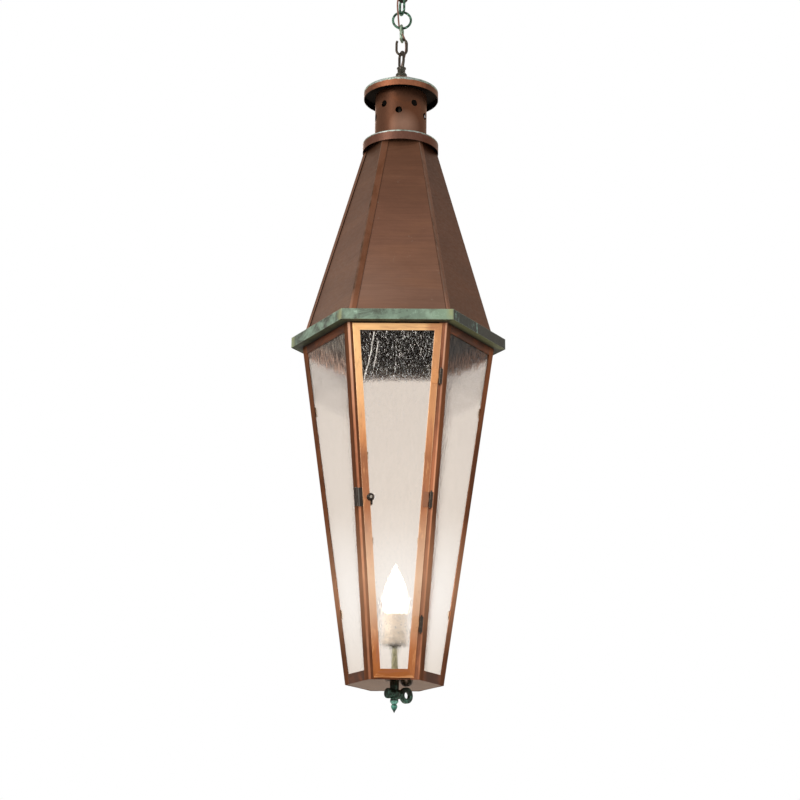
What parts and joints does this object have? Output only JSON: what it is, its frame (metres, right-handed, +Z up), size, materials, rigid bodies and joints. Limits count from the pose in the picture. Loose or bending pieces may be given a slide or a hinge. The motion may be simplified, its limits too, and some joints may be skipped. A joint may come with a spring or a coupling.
{
  "type": "hanging lantern",
  "caption": "Hexagonal tapered copper ceiling lantern on a short chain, with seeded glass, hinged glazed door, vented neck and cap, candle bulb and gas-cock ornament below.",
  "frame": {"origin": "centre of the canopy's rim, on the ceiling, midway between the strap's two screw holes", "axes": "+Z up to the ceiling along the lantern's axis, -Y out of the face that holds the door, +X to the door's hinge side"},
  "size_m": [0.3556, 0.308, 1.3024],
  "materials": {
    "steel": "zinc plated, satin",
    "canopy_copper": "browned copper, satin",
    "dark_bronze": "dark bronze, worn",
    "green_bronze": "bronze with green patina",
    "roof_copper": "browned copper sheet, satin",
    "band_copper": "copper sheet with green patina",
    "post_copper": "browned copper, satin",
    "base_copper": "browned copper, dull",
    "door_copper": "bright copper, satin",
    "seeded_glass": "clear seeded and rippled",
    "porcelain": "glazed",
    "lamp_pipe": "threaded brass pipe",
    "bulb_brass": "bright",
    "bulb_glass": "frosted",
    "cord_cover": "brown jacket, matte"
  },
  "bodies": {
    "ceiling": {"ceiling_strap": "steel", "canopy": "canopy_copper", "canopy_nuts": "canopy_copper", "canopy_loop": "dark_bronze", "supply_cord": "cord_cover"},
    "upper_link": {"upper_link": "green_bronze"},
    "chain_ring": {"chain_ring": "green_bronze"},
    "middle_link": {"middle_link": "green_bronze"},
    "open_link": {"open_link": "dark_bronze"},
    "lantern": {"lantern_loop": "dark_bronze", "cap": "roof_copper", "top_nipple": "steel", "neck_yoke": "steel", "neck_tube": "roof_copper", "neck_flange": "roof_copper", "roof_panel_1": "roof_copper", "roof_panel_2": "roof_copper", "roof_panel_3": "roof_copper", "roof_panel_4": "roof_copper", "roof_panel_5": "roof_copper", "roof_panel_6": "roof_copper", "eave_fascia": "band_copper", "eave_ledge": "band_copper", "corner_post_1": "post_copper", "corner_post_2": "post_copper", "corner_post_3": "post_copper", "corner_post_4": "post_copper", "corner_post_5": "post_copper", "corner_post_6": "post_copper", "top_rails": "post_copper", "bottom_rails": "post_copper", "bottom_plate": "base_copper", "side_pane_1": "seeded_glass", "side_pane_2": "seeded_glass", "side_pane_3": "seeded_glass", "side_pane_4": "seeded_glass", "side_pane_5": "seeded_glass", "pane_clips": "post_copper", "hinge_post_leaves": "dark_bronze", "hinge_pins": "dark_bronze", "latch_keeper": "dark_bronze", "cock_body": "green_bronze", "finial": "green_bronze", "lamp_stem": "lamp_pipe", "lamp_socket": "porcelain", "bulb_base": "bulb_brass", "bulb_glass": "bulb_glass", "lock_nuts": "steel", "socket_lead": "cord_cover", "lead_clips": "post_copper"},
    "door": {"door_stiles": "door_copper", "door_rails": "door_copper", "door_pane": "seeded_glass", "door_clips": "post_copper", "hinge_door_leaves": "dark_bronze", "latch_escutcheon": "dark_bronze"},
    "latch": {"latch_knob": "dark_bronze", "latch_tongue": "dark_bronze"},
    "gas_key": {"cock_key": "green_bronze", "cock_disc": "green_bronze"}
  },
  "joints": [
    {"name": "canopy_loop_swing", "type": "hinge", "parent": "ceiling", "child": "upper_link", "pos_m": [0, 0, -0.061], "axis": [0.9063, 0.4226, 0], "range_deg": [-18, 18], "deforming": ["supply_cord"]},
    {"name": "upper_link_swing", "type": "hinge", "parent": "upper_link", "child": "chain_ring", "pos_m": [0, 0, -0.0861], "axis": [-0.4226, 0.9063, 0], "range_deg": [-18, 18], "deforming": ["supply_cord"]},
    {"name": "chain_ring_swing", "type": "hinge", "parent": "chain_ring", "child": "middle_link", "pos_m": [0, 0, -0.1128], "axis": [1, 0, 0], "range_deg": [-18, 18], "deforming": ["supply_cord"]},
    {"name": "middle_link_swing", "type": "hinge", "parent": "middle_link", "child": "open_link", "pos_m": [0, 0, -0.1381], "axis": [0.1736, 0.9848, 0], "range_deg": [-18, 18], "deforming": ["supply_cord"]},
    {"name": "open_link_swing", "type": "hinge", "parent": "open_link", "child": "lantern", "pos_m": [0, 0, -0.1634], "axis": [1, 0, 0], "range_deg": [-18, 18], "deforming": ["supply_cord"]},
    {"name": "door_hinge", "type": "hinge", "parent": "lantern", "child": "door", "pos_m": [0.05515, -0.10623, -0.98208], "axis": [0.0716, -0.124, 0.9897], "range_deg": [0, 160]},
    {"name": "latch_turn", "type": "hinge", "parent": "door", "child": "latch", "pos_m": [-0.03931, -0.10273, -0.97783], "axis": [0, 0.9922, 0.1243], "range_deg": [0, 90]},
    {"name": "gas_key_turn", "type": "hinge", "parent": "lantern", "child": "gas_key", "pos_m": [0, 0, -1.272], "axis": [0.7071, 0.7071, 0], "range_deg": [0, 90]}
  ]
}
